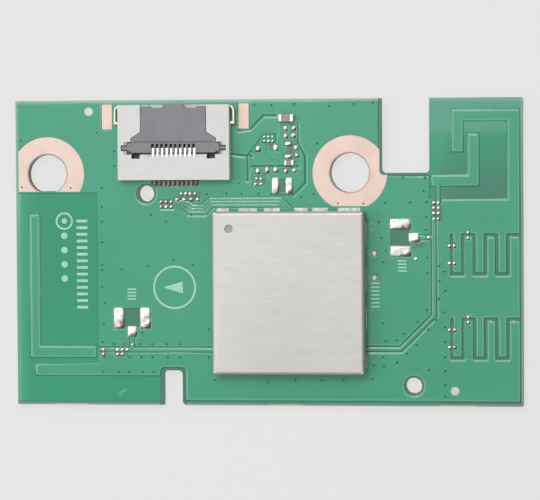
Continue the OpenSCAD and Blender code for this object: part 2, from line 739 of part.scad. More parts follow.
module connector_latch() color([0.55, 0.56, 0.57]) at_connector() {
    difference() {
        union() {
            translate([0, 0, plate_w0]) linear_extrude(conn_h - plate_w0) intersection() {
                latch_plan();
                union() {
                    translate([-conn_w / 2, bar_v]) square([conn_w, plate_end_v - bar_v]);
                    for (x = [-1, 1])
                        translate([x * (plate_half + wing_half) / 2, (plate_end_v + wing_end_v) / 2])
                            square([plate_half - wing_half, wing_end_v - plate_end_v + eps],
                                center = true);
                    polygon([[-tongue_half - 0.25, plate_end_v - eps],
                        [tongue_half + 0.25, plate_end_v - eps],
                        [tongue_half, conn_d + 0.1], [-tongue_half, conn_d + 0.1]]);
                }
            }
            for (x = [-1, 1]) {
                translate([x * (shoulder_half + pocket_half) / 2, pivot_v, pivot_w])
                    rotate([0, 90, 0])
                        cylinder(r = trunnion_r, h = pocket_half - shoulder_half,
                            center = true, $fn = fine);
                translate([x * (shoulder_half + stub_l / 2 - eps), (stub_v[0] + stub_v[1]) / 2,
                        (plate_w0 + conn_h) / 2])
                    cube([stub_l, stub_v[1] - stub_v[0], conn_h - plate_w0], center = true);
            }
        }
        // Comb that lets the contacts' upper arms through
        each_way()
            translate([-contact_slot / 2, bar_v - 1, 0])
                cube([contact_slot, comb_v - bar_v + 1, conn_h + 1]);
        // Groove between the bar and the plate
        translate([0, comb_v + 0.2, conn_h]) cube([2 * shoulder_half - 0.6, 0.14, 0.3], center = true);
        // Rear edge of the bar is eased, so that it clears the floor as it swings
        translate([0, bar_v, plate_w0]) rotate([45, 0, 0])
            cube([2 * conn_w, 0.2, 0.2], center = true);
    }
}

// A fork: the upper arm reaches into the latch's comb, the lower arm lies in the floor
module contact() rotate([90, 0, 90]) translate([0, 0, -contact_t / 2])
    linear_extrude(contact_t) {
        arm_w = pivot_w + 0.05;
        polygon([[-tail_l, 0], [0.3, 0], [0.3, 0.08], [bar_v + 3, 0.08], [bar_v + 3, 0.22],
            [1.1, 0.24], [1.1, arm_w - 0.2], [pivot_v - 0.35, arm_w - 0.16],
            [pivot_v - 0.3, arm_w - 0.24], [pivot_v, arm_w - 0.12], [pivot_v, arm_w + 0.06],
            [bar_v - 0.6, arm_w + 0.1], [0.5, arm_w + 0.1], [0.5, 0.3], [0, 0.3],
            [-0.12, 0.14], [-tail_l, 0.12]]);
    }

module connector_contacts() color([0.93, 0.92, 0.88]) at_connector() each_way() contact();

// A leaf that comes out of the housing's front corner and folds back beside it
module solder_clip() {
    leaf = 0.2;
    bend = 0.7;
    reach = 1.4;
    gap = 0.3;
    x = conn_w / 2 + gap + leaf - bend;
    color([0.9, 0.9, 0.87]) at_connector() linear_extrude(0.8) {
        translate([x, conn_d - bend]) intersection() {
            difference() {
                circle(bend, $fn = fine);
                circle(bend - leaf, $fn = fine);
            }
            translate([conn_w / 2 - x, 0]) square(bend);
        }
        translate([conn_w / 2 + gap, conn_d - bend - reach]) square([leaf, reach]);
        translate([conn_w / 2, conn_d - bend - reach]) square([gap + leaf, 0.3]);
    }
}

module right_solder_clip() solder_clip();
module left_solder_clip() translate([2 * conn_c[0], 0, 0]) mirror([1, 0, 0]) solder_clip();

// ---------- open parts of the bank ----------

module input_capacitor() color(ceramic) translate([input_cap[0], input_cap[1], top_z])
    chip_body(1.65, 0.8, 0.8, 0.4);
module input_capacitor_ends() color(tin) translate([input_cap[0], input_cap[1], top_z])
    chip_ends(1.65, 0.8, 0.8, 0.4);
module filter_capacitor() color(ceramic) translate([filter_cap[0], filter_cap[1], top_z])
    chip_body(1.05, 0.55, 0.5, 0.28);
module filter_capacitor_ends() color(tin) translate([filter_cap[0], filter_cap[1], top_z])
    chip_ends(1.05, 0.55, 0.5, 0.28);

// ---------- printed marks ----------

module ring(r) difference() {
    circle(r, $fn = fine);
    circle(r - ink_w, $fn = fine);
}

module bars(count, length, width, step)
    for (i = [0 : count - 1])
        translate([0, -i * step]) square([length, width], center = true);

module legend() color(ink) {
    translate([0, 0, foil_t]) on_board(ink_t) {
        translate(ring_c) {
            ring(ring_r);
            polygon([[-1.2, 0], [0.9, 0.65], [0.9, -0.65]]);
        }
        translate(probe_l + [0, 3.1]) bars(4, 0.95, 0.16, 0.36);
        translate(probe_r + [0.2, -2.5]) bars(4, 0.95, 0.16, 0.36);
        translate([can_r + 1, edge_n + 13.2]) bars(7, 0.9, 0.16, 0.42);
        translate(conn_c + [-0.9, -3.25]) square([1.6, 0.12], center = true);
    }
    on_board(ink_t) {
        translate(small_ring_c) {
            ring(small_ring_r);
            circle(0.3, $fn = round_n);
        }
        for (i = [0 : 3])
            translate(small_ring_c - [0, 1.6 + i * 1.55]) circle(0.36, $fn = round_n);
        translate(small_ring_c + [1.95, 0]) bars(14, 1.2, 0.3, 0.72);
    }
}

board();
ground_foil();
left_antenna();
right_antenna();
left_feed_line();
right_feed_line();
data_lines();
left_screw_land();
right_screw_land();
connector_lands();
fiducials();
test_points();
tinned_lands();
left_probe_lands();
right_probe_lands();
inductor_lands();
shield_lands();
shield_can();
radio_chip();
radio_chip_leads();
crystal_base();
crystal_lid();
power_inductor();
inductor_ends();
antenna_amplifiers();
memory_chip();
supply_capacitors();
supply_capacitor_ends();
connector_housing();
connector_latch();
connector_contacts();
left_solder_clip();
right_solder_clip();
input_capacitor();
input_capacitor_ends();
filter_capacitor();
filter_capacitor_ends();
legend();
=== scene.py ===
import json
import math

import bmesh
import bpy
import numpy as np
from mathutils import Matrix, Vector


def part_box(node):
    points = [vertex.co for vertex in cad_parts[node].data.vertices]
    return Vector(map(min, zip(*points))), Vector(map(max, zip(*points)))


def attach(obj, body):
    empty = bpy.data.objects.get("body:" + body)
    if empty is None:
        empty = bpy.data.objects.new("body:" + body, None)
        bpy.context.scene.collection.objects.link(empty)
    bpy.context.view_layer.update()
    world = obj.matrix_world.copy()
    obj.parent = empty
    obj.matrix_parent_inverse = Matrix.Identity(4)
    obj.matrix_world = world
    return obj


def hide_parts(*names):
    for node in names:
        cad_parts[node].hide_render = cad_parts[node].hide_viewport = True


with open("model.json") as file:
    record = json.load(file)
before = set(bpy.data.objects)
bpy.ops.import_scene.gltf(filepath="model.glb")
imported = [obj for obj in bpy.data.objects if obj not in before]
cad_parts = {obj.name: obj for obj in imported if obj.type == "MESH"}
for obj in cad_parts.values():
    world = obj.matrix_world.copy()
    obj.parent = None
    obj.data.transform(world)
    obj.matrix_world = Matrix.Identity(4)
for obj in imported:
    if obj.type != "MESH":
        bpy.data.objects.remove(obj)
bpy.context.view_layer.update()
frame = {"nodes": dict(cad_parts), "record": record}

# Looks of a wireless radio module: a printed board with two printed antennas, a soldered
# shield can and a flip-lock connector. The board lies on XY with its underside at z = 0 and
# its components face +Z. All lengths are in metres, written as millimetres times MM.
MM = 0.001
nodes = frame["nodes"]
scene = bpy.context.scene
scene.view_settings.view_transform = "Standard"
BOARD_LOW, BOARD_HIGH = (np.array(c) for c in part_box("board"))
FOIL_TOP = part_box("ground_foil")[1][2]
LAMINATE_TOP = BOARD_HIGH[2]
FOIL_T = FOIL_TOP - LAMINATE_TOP
CAN_LOW, CAN_HIGH = (np.array(c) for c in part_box("shield_can"))
TAU = 2 * math.pi


def srgb(red, green, blue):
    """A colour written as 0-255 display values, as the linear values that shaders use."""
    return tuple(
        c / 12.92 if c <= 0.04045 else ((c + 0.055) / 1.055) ** 2.4
        for c in (red / 255, green / 255, blue / 255)
    )


# ---------- camera, light and floor ----------


LAMP_WHITE = (1, 0.995, 0.98)


def set_camera():
    """A long lens high above the board, a little to the right of its middle."""
    data = bpy.data.cameras.new("camera")
    data.lens = 203.8
    data.sensor_width = 36
    data.shift_y = -0.001852
    data.clip_start = 0.01
    data.clip_end = 10
    camera = bpy.data.objects.new("camera", data)
    camera.location = (45.478 * MM, 12.494 * MM, 326.81 * MM)
    camera.rotation_euler = [math.radians(a) for a in (-2.1615, 7.8804, -0.3777)]
    scene.collection.objects.link(camera)
    scene.camera = camera


def area_lamp(name, place, size, power):
    """A square soft box at place, which faces the middle of the board."""
    data = bpy.data.lights.new(name, "AREA")
    data.size = size
    data.energy = power
    data.color = LAMP_WHITE
    lamp = bpy.data.objects.new(name, data)
    away = np.array(place) / np.linalg.norm(place)
    lamp.location = place
    lamp.rotation_euler = (math.acos(away[2]), 0, math.atan2(away[1], away[0]) + math.pi / 2)
    scene.collection.objects.link(lamp)


set_camera()
area_lamp("far_lamp", (-30 * MM, 85 * MM, 220 * MM), 68 * MM, 0.138)
area_lamp("left_lamp", (-160 * MM, 0, 180 * MM), 80 * MM, 0.055)


# ---------- shader expressions ----------


class Value:
    """A shader socket. Arithmetic on it adds Math nodes to its material."""

    def __init__(self, socket):
        self.socket = socket

    def node(self, kind, settings=None, inputs=None, output=0):
        """Any other node: its settings are set first, then its sockets, by name or number."""
        made = self.socket.id_data.nodes.new(kind)
        for key, setting in (settings or {}).items():
            setattr(made, key, setting)
        for key, value in (inputs or {}).items():
            give(made.inputs[key], value)
        return Value(made.outputs[output])

    def math(self, operation, *values):
        """A Math node on these values."""
        return self.node("ShaderNodeMath", {"operation": operation}, dict(enumerate(values)))

    def __add__(self, other):
        return self.math("ADD", self, other)

    def __radd__(self, other):
        return self.math("ADD", other, self)

    def __sub__(self, other):
        return self.math("SUBTRACT", self, other)

    def __rsub__(self, other):
        return self.math("SUBTRACT", other, self)

    def __mul__(self, other):
        return self.math("MULTIPLY", self, other)

    def __rmul__(self, other):
        return self.math("MULTIPLY", other, self)

    def __abs__(self):
        return self.math("ABSOLUTE", self)

    def low(self, other):
        """The lower of two values."""
        return self.math("MINIMUM", self, other)

    def high(self, other):
        """The higher of two values."""
        return self.math("MAXIMUM", self, other)

    def step(self, start, end, first=0.0, last=1.0):
        """Goes smoothly from first to last as the value goes from start to end."""
        return self.node("ShaderNodeMapRange", {"interpolation_type": "SMOOTHSTEP"},
                         {0: self, 1: start, 2: end, 3: first, 4: last})

    def mix(self, first, last):
        """The colour first where the value is 0 and last where it is 1."""
        return self.node("ShaderNodeMix", {"data_type": "RGBA"}, {0: self, 6: first, 7: last}, 2)

    def stretched(self, *scales):
        """A place, scaled along each axis."""
        return self.node("ShaderNodeVectorMath", {"operation": "MULTIPLY"},
                         {0: self, 1: scales})

    def noise(self, size, detail=2.0, roughness=0.5):
        """Soft noise about 0.5 whose patches are about size across, read at this place."""
        return self.node("ShaderNodeTexNoise", {},
                         {"Vector": self, "Scale": 1 / size, "Detail": detail,
                          "Roughness": roughness})

    def axes(self):
        """The three parts of a place."""
        split = self.node("ShaderNodeSeparateXYZ", {}, {0: self}).socket.node
        return [Value(out) for out in split.outputs]

    def tone(self):
        """The value that a piece's shape holds at each point, in its attribute 'tone'."""
        return self.node("ShaderNodeAttribute", {"attribute_name": "tone"}, {}, 2)


def give(socket, value):
    """Links a Value to a socket, or writes a number or a colour into it."""
    if isinstance(value, Value):
        socket.id_data.links.new(value.socket, socket)
    elif socket.type == "RGBA" and len(value) == 3:
        socket.default_value = (*value, 1)
    else:
        socket.default_value = value


def new_material(name, **constants):
    """A material with these constants on its shader. Returns it, its shader and its places."""
    material = bpy.data.materials.new(name)
    material.use_nodes = True
    shader = material.node_tree.nodes["Principled BSDF"]
    for key, value in constants.items():
        give(shader.inputs[key.replace("_", " ").title()], value)
    place = material.node_tree.nodes.new("ShaderNodeTexCoord").outputs["Object"]
    return material, shader, Value(place)


def dress(shader, colour, roughness, metallic=None, coat=None, height=None, depth=None,
          strength=1.0):
    """Gives a shader its varying colour, roughness, metal and coat, and a bump of that depth."""
    for key, value in (("Base Color", colour), ("Roughness", roughness),
                       ("Metallic", metallic), ("Coat Weight", coat)):
        if value is not None:
            give(shader.inputs[key], value)
    if height is not None:
        bump = height.node("ShaderNodeBump", {},
                           {"Height": height, "Distance": depth, "Strength": strength})
        give(shader.inputs["Normal"], bump)


def light_up_world():
    """A pale studio: bright overhead, brightest towards the far left, dim on the near right."""
    world = bpy.data.worlds.new("studio")
    world.use_nodes = True
    scene.world = world
    tree = world.node_tree
    way = Value(tree.nodes.new("ShaderNodeTexCoord").outputs["Generated"])
    x, y, z = way.axes()
    towards = (y * 0.75 - x * 0.55 + z * 0.35)
    light = z.step(0.0, 1.0, 0.12, 0.74) + towards.step(0.2, 1.0, 0.0, 0.32)
    light = light * towards.step(-0.9, 0.1, 0.45, 1.0)
    give(tree.nodes["Background"].inputs["Strength"], light)
    give(tree.nodes["Background"].inputs["Color"], srgb(252, 253, 255))


def lay_floor():
    """A plain pale floor just under the board. Part of its tone is a glow that only shows to
    the camera and in reflections, so that shadows on it stay soft."""
    half, z = 800 * MM, -0.02 * MM
    mesh = bpy.data.meshes.new("floor")
    mesh.from_pydata([(-half, -half, z), (half, -half, z), (half, half, z), (-half, half, z)],
                     [], [(0, 1, 2, 3)])
    floor = bpy.data.objects.new("floor", mesh)
    scene.collection.objects.link(floor)
    material, shader, place = new_material(
        "floor", base_color=srgb(232, 232, 232), roughness=0.9)
    paths = material.node_tree.nodes.new("ShaderNodeLightPath").outputs
    seen = Value(paths["Is Camera Ray"]).high(Value(paths["Is Glossy Ray"]))
    seen = seen.high(Value(paths["Is Transmission Ray"]))
    glow = place.node("ShaderNodeEmission", {}, {"Color": srgb(232, 231, 231)})
    blend = place.node("ShaderNodeMixShader", {}, {0: seen * 0.85})
    material.node_tree.links.new(shader.outputs[0], blend.socket.node.inputs[1])
    give(blend.socket.node.inputs[2], glow)
    give(material.node_tree.nodes["Material Output"].inputs["Surface"], blend)
    mesh.materials.append(material)


light_up_world()
lay_floor()


# ---------- finishes ----------

COPPER_GREEN = srgb(59, 165, 128)
LAMINATE_GREEN = srgb(20, 157, 115)
LAMINATE_BRIGHT = srgb(55, 170, 126)
LAMINATE_DEEP = srgb(14, 138, 106)
LAMINATE_PALE = srgb(150, 196, 174)
LAMINATE_SHADED = srgb(66, 122, 103)
MINT = srgb(150, 212, 180)
FIBRE = srgb(150, 182, 150)

# Places on the board. A middle or a rectangle's middle and half size is in mm.
LEFT_SCREW, RIGHT_SCREW = (-24.0, 8.55), (9.0, 8.55)
SCREW_HOLE_R, SCREW_LAND_R = 2.1 * MM, 4.05 * MM
LEFT_PIN, RIGHT_PIN = (-13.15, 6.4), (15.8, -14.3)
FIDUCIALS = ((-19.4, 15.3), (20.2, -14.85))
CONNECTOR_X = -9.92
TAILS = ((-9.95, 7.6), (2.6, 0.3))
LEFT_WINDOW = ((-21.8, -1.95), (3.3, 8.55))
# Where there is no copper on either face: the strip and the tab of the two antennas
BARE_REGIONS = [((-23.0, -5.0), (4.45, 11.5)), ((22.55, 11.1), (5.0, 5.4))]
# Openings in the foil whose laminate is dull
WINDOWS = [((14.4, 1.6), (1.0, 1.1)), ((-14.8, -7.05), (1.1, 1.0)), ((1.5, 7.2), (0.45, 0.8)),
           ((-10.35, -16.5), (1.4, 4.1)), ((14.7, 16.5), (2.6, 8.3))]
# Where the copper is cut back among small lands, and flux darkens the mask
CLEARINGS = [((0.44, 11.38), (0.5, 0.38)), ((-0.62, 7.85), (0.55, 0.65)),
             ((2.78, 13.1), (0.08, 0.8)), ((2.75, 11.1), (0.5, 0.9)),
             ((18.46, 4.35), (0.45, 1.1)), ((-17.9, -10.85), (0.3, 0.42)),
             ((-16.0, -10.85), (0.65, 0.42)), ((-10.91, 5.28), (0.7, 0.48)),
             ((-8.45, 6.05), (1.15, 0.5)), ((15.9, 0.75), (1.0, 0.3))]
# What is left of the links to the panel on the near edge: the middle and half the length
LINKS = [(-21.6, 1.9), (2.0, 1.9), (20.5, 2.1)]


def inside(x, y, middle, half):
    """1 within a rectangle about middle, falling to 0 just outside it."""
    across = abs(x - middle[0] * MM).step((half[0] + 0.05) * MM, half[0] * MM)
    return across * abs(y - middle[1] * MM).step((half[1] + 0.05) * MM, half[1] * MM)


def from_middle(x, y, middle):
    """The distance in the plan from a middle given in mm."""
    across, along = x - middle[0] * MM, y - middle[1] * MM
    return across.math("SQRT", across * across + along * along)


def by_the_tails(x, y):
    """1 in the narrow strip where the contacts' tails are soldered, which the housing's painted
    shadow covers.
    """
    return inside(x, y, *TAILS)


def laminate_colour(x, y):
    """The mask over bare laminate: a painted glow, brighter where light comes in at the board's
    left edge and at the root of the tab; painted shade over the tab's lower part, lifted again
    at its far end; dull in the openings of the foil; a painted highlight along the far and left
    edges, painted shade along the near edge and a painted glint along the near and right edges;
    and painted shade inside the left antenna's window."""
    # Painted glow where light comes in at the board's left edge and at the root of the tab
    glow = x.step(BOARD_LOW[0] + 1.9 * MM, BOARD_LOW[0])
    by_the_tab = abs(x - 18.6 * MM).step(1.5 * MM, 0.4 * MM)
    colour = glow.high(by_the_tab * 0.7).mix(LAMINATE_GREEN, LAMINATE_BRIGHT)
    # Painted shade over the tab's lower part, lifted again at its far end
    tab_root = x.step(16 * MM, 20 * MM) * y.step(14 * MM, 6 * MM)
    colour = (tab_root * 0.75).mix(colour, LAMINATE_SHADED)
    tab_end = x.step(17 * MM, 18 * MM) * y.step(12.3 * MM, 13.4 * MM)
    colour = tab_end.mix(colour, srgb(84, 166, 138))
    # Painted highlight along the far and left edges
    far_edge = y.step(BOARD_HIGH[1] - 0.42 * MM, BOARD_HIGH[1] - 0.3 * MM)
    far_edge = far_edge * x.step(14 * MM, 13 * MM, 0.35, 1.0)
    left_edge = x.step(BOARD_LOW[0] + 0.6 * MM, BOARD_LOW[0] + 0.3 * MM)
    left_edge = left_edge * y.step(0, 7 * MM, 0.25, 0.6)
    colour = far_edge.high(left_edge).mix(colour, LAMINATE_PALE)
    # Painted shade along the near edge
    near_edge = y.step(BOARD_LOW[1] + 0.6 * MM, BOARD_LOW[1] + 0.2 * MM)
    colour = (near_edge * 0.8).mix(colour, LAMINATE_SHADED)
    # Painted glint along the near and right edges
    edge_glint = y.step(BOARD_LOW[1] + 0.32 * MM, BOARD_LOW[1] + 0.12 * MM).high(
        x.step(BOARD_HIGH[0] - 0.3 * MM, BOARD_HIGH[0] - 0.1 * MM))
    colour = (edge_glint * 0.55).mix(colour, srgb(164, 182, 168))
    for middle, half in WINDOWS:
        colour = (inside(x, y, middle, half) * 0.9).mix(colour, LAMINATE_SHADED)
    # Painted shade inside the left antenna's window, where the light from the left edge stops
    left_window = inside(x, y, *LEFT_WINDOW) * y.step(-10.5 * MM, -5 * MM)
    return (left_window * 0.3).mix(colour, LAMINATE_DEEP)


def marked(colour, x, y, patches, grain):
    """A colour with a pale scuff near the near left corner, and with the dull remains of the
    links to the panel along the near edge."""
    scuff = abs(x - y + 0.8 * MM).step(0.35 * MM, 0.1 * MM)
    scuff = scuff * abs(x + y + 31.1 * MM).step(0.95 * MM, 0.5 * MM)
    colour = (scuff * grain.step(0.35, 0.6) * 0.5).mix(colour, LAMINATE_PALE)
    first, *others = [abs(x - middle * MM).step(half * MM, (half - 0.2) * MM)
                      for middle, half in LINKS]
    links = first
    for other in others:
        links = links.high(other)
    links = links * y.step(BOARD_LOW[1] + 0.16 * MM, BOARD_LOW[1] + 0.08 * MM)
    return (links * patches.step(0.3, 0.6, 0.4, 0.9)).mix(colour, srgb(206, 186, 166))


def glass_fibre(x, y, layers):
    """The cut and moulded sides: glass fibre in layers, with brown painted shade inside the
    screw holes.
    """
    colour = layers.step(0.35, 0.65).mix(srgb(96, 150, 118), FIBRE)
    # Painted shade, brown, on the walls of the screw holes
    for middle in (LEFT_SCREW, RIGHT_SCREW):
        wall = from_middle(x, y, middle).step(2.3 * MM, 2.25 * MM)
        colour = (wall * 0.8).mix(colour, srgb(132, 100, 92))
    return colour


def solder_mask():
    """Glossy green mask: paler over copper than over bare laminate, and thin and pale at the
    copper's edges, a pale rim that is partly a painted highlight, with painted shade at the foot
    of each slope. Slopes and grooves say by their 'tone' how far the copper under them is gone.
    The board's sides, which it doesn't cover, show glass fibre. By the contacts' tails the mask
    carries the connector housing's painted shadow."""
    material, shader, place = new_material("solder_mask", coat_roughness=0.12)
    x, y, z = place.axes()
    gone = place.tone()
    over_copper = z.step(LAMINATE_TOP + 0.1 * FOIL_T, LAMINATE_TOP + 0.85 * FOIL_T)
    over_copper = over_copper.low(gone.step(0.85, 0.35))
    under = z.step(0.02 * MM, 0)
    for middle, half in BARE_REGIONS:
        under = under * (1 - inside(x, y, middle, half))
    over_copper = over_copper.high(under)
    patches = place.noise(7 * MM, 2)
    grain = place.noise(0.25 * MM, 3)
    colour = over_copper.mix(laminate_colour(x, y), COPPER_GREEN)
    cut_back = z.step(1 * MM, 1.1 * MM) * place.noise(0.35 * MM, 2).step(0.35, 0.6, 0.3, 0.8)
    for middle, half in CLEARINGS:
        colour = (cut_back * inside(x, y, middle, half)).mix(colour, srgb(84, 108, 92))
    # Pale rim at the copper's edges: thin mask, and partly a painted highlight
    rim = gone.step(0.02, 0.2) * gone.step(0.75, 0.5)
    colour = (rim * 0.3).mix(colour, MINT)
    # Painted shade at the foot of each slope
    colour = (gone.step(0.6, 0.85) * 0.6).mix(colour, srgb(40, 104, 80))
    colour = (patches.step(0.3, 0.7) * 0.10 + grain.step(0.3, 0.7) * 0.06).mix(
        colour, srgb(60, 130, 104))
    # Painted shadow of the connector's housing on the strip by the contacts' tails
    flux = by_the_tails(x, y) * z.step(0, 1 * MM) * 0.8
    colour = marked(flux.mix(colour, srgb(66, 66, 56)), x, y, patches, grain)
    side = z.step(LAMINATE_TOP - 0.03 * MM, LAMINATE_TOP - 0.08 * MM)
    side = side * z.step(0.03 * MM, 0.08 * MM)
    layers = place.stretched(0.15, 0.15, 6).noise(0.6 * MM, 3, 0.7)
    dress(shader, side.mix(colour, glass_fibre(x, y, layers)),
          0.26 + 0.12 * grain + side * 0.35,
          coat=gone.step(0, 0.08, 0.5, 0.9) * (1 - side),
          height=place.noise(0.5 * MM, 2) * 0.5 + side * layers * 3 - gone * 11, depth=6e-6)
    return material


def bare_copper():
    """Pink copper with a thin preservative, faintly brushed and stained. Rims of holes say
    by their 'tone' how far they slope down, and are darkened by it with painted shade."""
    material, shader, place = new_material("bare_copper", metallic=0.2)
    sunk = place.tone()
    patches = place.noise(1.8 * MM, 3)
    grain = place.stretched(1, 0.25, 1).noise(0.12 * MM, 2)
    colour = patches.step(0.35, 0.7).mix(srgb(240, 215, 202), srgb(234, 207, 193))
    colour = (grain.step(0.4, 0.75) * 0.15).mix(colour, srgb(228, 190, 174))
    # Painted shade on the rims of holes, by their tone
    colour = (sunk * 0.6).mix(colour, srgb(160, 128, 120))
    dress(shader, colour, 0.42 + 0.14 * grain, height=grain * 0.5 - sunk * 30, depth=3e-6)
    return material


def fluxed_tin():
    """Flat tinned land under clear flux: pale and greenish, with a few brighter spots."""
    material, shader, place = new_material("fluxed_tin", metallic=0.2)
    spots = place.noise(0.5 * MM, 2)
    colour = spots.step(0.4, 0.6).mix(srgb(184, 202, 188), srgb(232, 234, 228))
    dress(shader, colour, 0.3 + 0.2 * spots, height=spots, depth=8e-6)
    return material


def solder():
    """Bright solder with soft patches, browner with painted shade on the side that its 'tone'
    marks, and dark with the connector housing's painted shadow on the contacts' tails."""
    material, shader, place = new_material("solder", metallic=0.8)
    dull = place.tone()
    x, y, _ = place.axes()
    patches = place.noise(0.45 * MM, 1, 0.4)
    colour = patches.step(0.5, 0.72).mix(srgb(252, 250, 248), srgb(222, 208, 202))
    # Painted shade: browner on the side that the tone marks
    brown = (dull + patches * 0.7).step(0.95, 1.3)
    colour = brown.mix(colour, srgb(150, 122, 116))
    # Painted shadow of the connector's housing on the contacts' tails
    colour = (by_the_tails(x, y) * 0.85).mix(colour, srgb(102, 84, 76))
    dress(shader, colour, 0.26 + 0.14 * patches, height=patches, depth=4e-6, strength=0.5)
    return material


def shield_steel():
    """Tinned sheet steel: fine rolling streaks along X, with a few brighter ones, and a round
    dimple pressed near the far left corner, darkened with painted shade. The lid has painted
    light towards its near left corner and painted shade at its far side, and the walls painted
    brownish shade on the right and near sides."""
    material, shader, place = new_material("shield_steel", metallic=0.85)
    x, y, z = place.axes()
    fine = place.stretched(0.08, 1, 1).noise(0.10 * MM, 3, 0.6)
    broad = place.stretched(0.2, 1, 1).noise(1.1 * MM, 3)
    bright = place.stretched(0.1, 1, 1).noise(0.22 * MM, 1)
    colour = fine.step(0.3, 0.75).mix(srgb(211, 209, 205), srgb(202, 200, 196))
    colour = (broad.step(0.3, 0.7) * 0.25).mix(colour, srgb(198, 195, 191))
    colour = (bright.step(0.70, 0.78) * 0.3).mix(colour, srgb(228, 227, 225))
    # Painted light: brighter towards the near left corner; painted shade: a little darker at the
    # far side
    painted_sheen = x.step(1 * MM, CAN_LOW[0]) * y.step(-1 * MM, CAN_LOW[1])
    colour = (painted_sheen * 0.4).mix(colour, srgb(226, 224, 220))
    colour = (y.step(-2 * MM, CAN_HIGH[1]) * 0.5).mix(colour, srgb(197, 194, 190))
    pressed = from_middle(x, y, (CAN_LOW[0] / MM + 1.85, CAN_HIGH[1] / MM - 1.85))
    pressed = pressed.step(0.5 * MM, 0.34 * MM)
    # Painted shade in the pressed dimple
    colour = (pressed * 0.6).mix(colour, srgb(140, 139, 138))
    # The walls are duller than the lid, and painted brownish shade darkens them towards the
    # right and the near side
    wall = z.step(CAN_HIGH[2] - 0.03 * MM, CAN_HIGH[2] - 0.12 * MM)
    shaded = x.step(CAN_HIGH[0] - 0.5 * MM, CAN_HIGH[0] - 0.3 * MM)
    shaded = shaded.high(y.step(CAN_LOW[1] + 0.5 * MM, CAN_LOW[1] + 0.3 * MM))
    colour = (wall * shaded * 0.75).mix(colour, srgb(172, 154, 148))
    dress(shader, colour, 0.40 + 0.16 * fine + wall * 0.1, 0.85 - wall * 0.45,
          height=fine + broad * 2 - pressed * 40, depth=2.5e-6, strength=0.4)
    return material


def moulded(name, colour, shade, roughness, hollows=(), below=0.0):
    """Moulded plastic: a fine even grain and slightly uneven tone. The hollows, each with a
    middle and a half size in mm and a colour, are darker below a height: painted shade."""
    material, shader, place = new_material(name)
    grain = place.noise(0.15 * MM, 3)
    patches = place.noise(1.5 * MM, 2)
    tone = (patches.step(0.3, 0.7) * 0.6 + grain.step(0.3, 0.7) * 0.4).mix(colour, shade)
    if hollows:
        x, y, z = place.axes()
        for middle, half, dark in hollows:
            deep = inside(x, y, middle, half) * z.step(below, below - 0.12 * MM)
            tone = (deep * 0.85).mix(tone, dark)
    dress(shader, tone, roughness + 0.12 * grain, height=grain, depth=5e-6, strength=0.6)
    return material


def contact_metal():
    """Tin-plated spring metal, dark with the connector housing's painted shadow at the soldered
    tails, and cream on the solder clips.
    """
    material, shader, place = new_material("contact_metal", metallic=0.9)
    x, y, _ = place.axes()
    grain = place.noise(0.1 * MM, 2)
    colour = grain.step(0.35, 0.7).mix(srgb(248, 245, 238), srgb(226, 218, 206))
    # Painted shadow of the connector's housing on the tails
    colour = (by_the_tails(x, y) * 0.8).mix(colour, srgb(126, 106, 96))
    clips = abs(x - CONNECTOR_X * MM).step(6.04 * MM, 6.09 * MM)
    colour = (clips * 0.8).mix(colour, srgb(222, 206, 178))
    dress(shader, colour, 0.24 + 0.12 * grain, height=grain, depth=4e-6, strength=0.5)
    return material


def ink():
    """Pale ink printed over the mask, thin in places."""
    material, shader, place = new_material("ink")
    speckle = place.noise(0.09 * MM, 2, 0.7)
    colour = speckle.step(0.45, 0.72).mix(srgb(177, 230, 206), srgb(123, 197, 168))
    dress(shader, colour, 0.45 + 0.2 * speckle, height=speckle, depth=5e-6, strength=0.6)
    return material


def via_finish(name, ground, deep, metal):
    """A plated hole: the ground's colour at its rim, and dark with painted shade towards the
    hole where its 'tone' is high.
    """
    material, shader, place = new_material(name, metallic=metal)
    dent = place.tone()
    grain = place.noise(0.08 * MM, 2)
    colour = dent.step(0.3, 0.7).mix(ground, deep)
    dress(shader, colour, 0.32 + 0.1 * grain)
    return material


# Painted shade in the pockets beside the latch's bar, the room under it and the pockets of its
# two pivots
DEEP_SHADE, SOFT_SHADE = srgb(52, 44, 42), srgb(172, 164, 168)
HOUSING_HOLLOWS = [((-14.02, 10.42), (0.5, 0.34), DEEP_SHADE),
                   ((-5.82, 10.42), (0.5, 0.34), DEEP_SHADE),
                   ((CONNECTOR_X, 11.35), (4.6, 0.62), DEEP_SHADE),
                   ((-15.2, 11.45), (0.62, 0.8), SOFT_SHADE),
                   ((-4.64, 11.45), (0.62, 0.8), SOFT_SHADE)]
BAR_TOP = 2.58 * MM
finishes = {
    "laminate": solder_mask(),
    "bare_copper": bare_copper(),
    "solder": solder(),
    "shield_steel": shield_steel(),
    "moulded_black": moulded("moulded_black", srgb(46, 46, 48), srgb(34, 34, 36), 0.5),
    "ceramic": moulded("ceramic", srgb(180, 164, 154), srgb(160, 142, 132), 0.4),
    "ferrite": moulded("ferrite", srgb(92, 90, 92), srgb(74, 72, 74), 0.6),
    "white_plastic": moulded("white_plastic", srgb(229, 228, 226), srgb(222, 221, 219), 0.42,
                             hollows=HOUSING_HOLLOWS, below=BAR_TOP),
    "grey_plastic": moulded("grey_plastic", srgb(136, 138, 142), srgb(126, 128, 132), 0.4),
    "contact_metal": contact_metal(),
    "ink": ink(),
}
finishes["masked_copper"] = finishes["laminate"]
land_finish = fluxed_tin()
hole_edge = via_finish("hole_edge", srgb(158, 172, 160), srgb(98, 100, 90), 0)
tented = via_finish("tented_via", COPPER_GREEN, srgb(24, 82, 66), 0)
open_via = via_finish("open_via", srgb(240, 206, 191), srgb(70, 52, 48), 0.35)


# ---------- shapes ----------

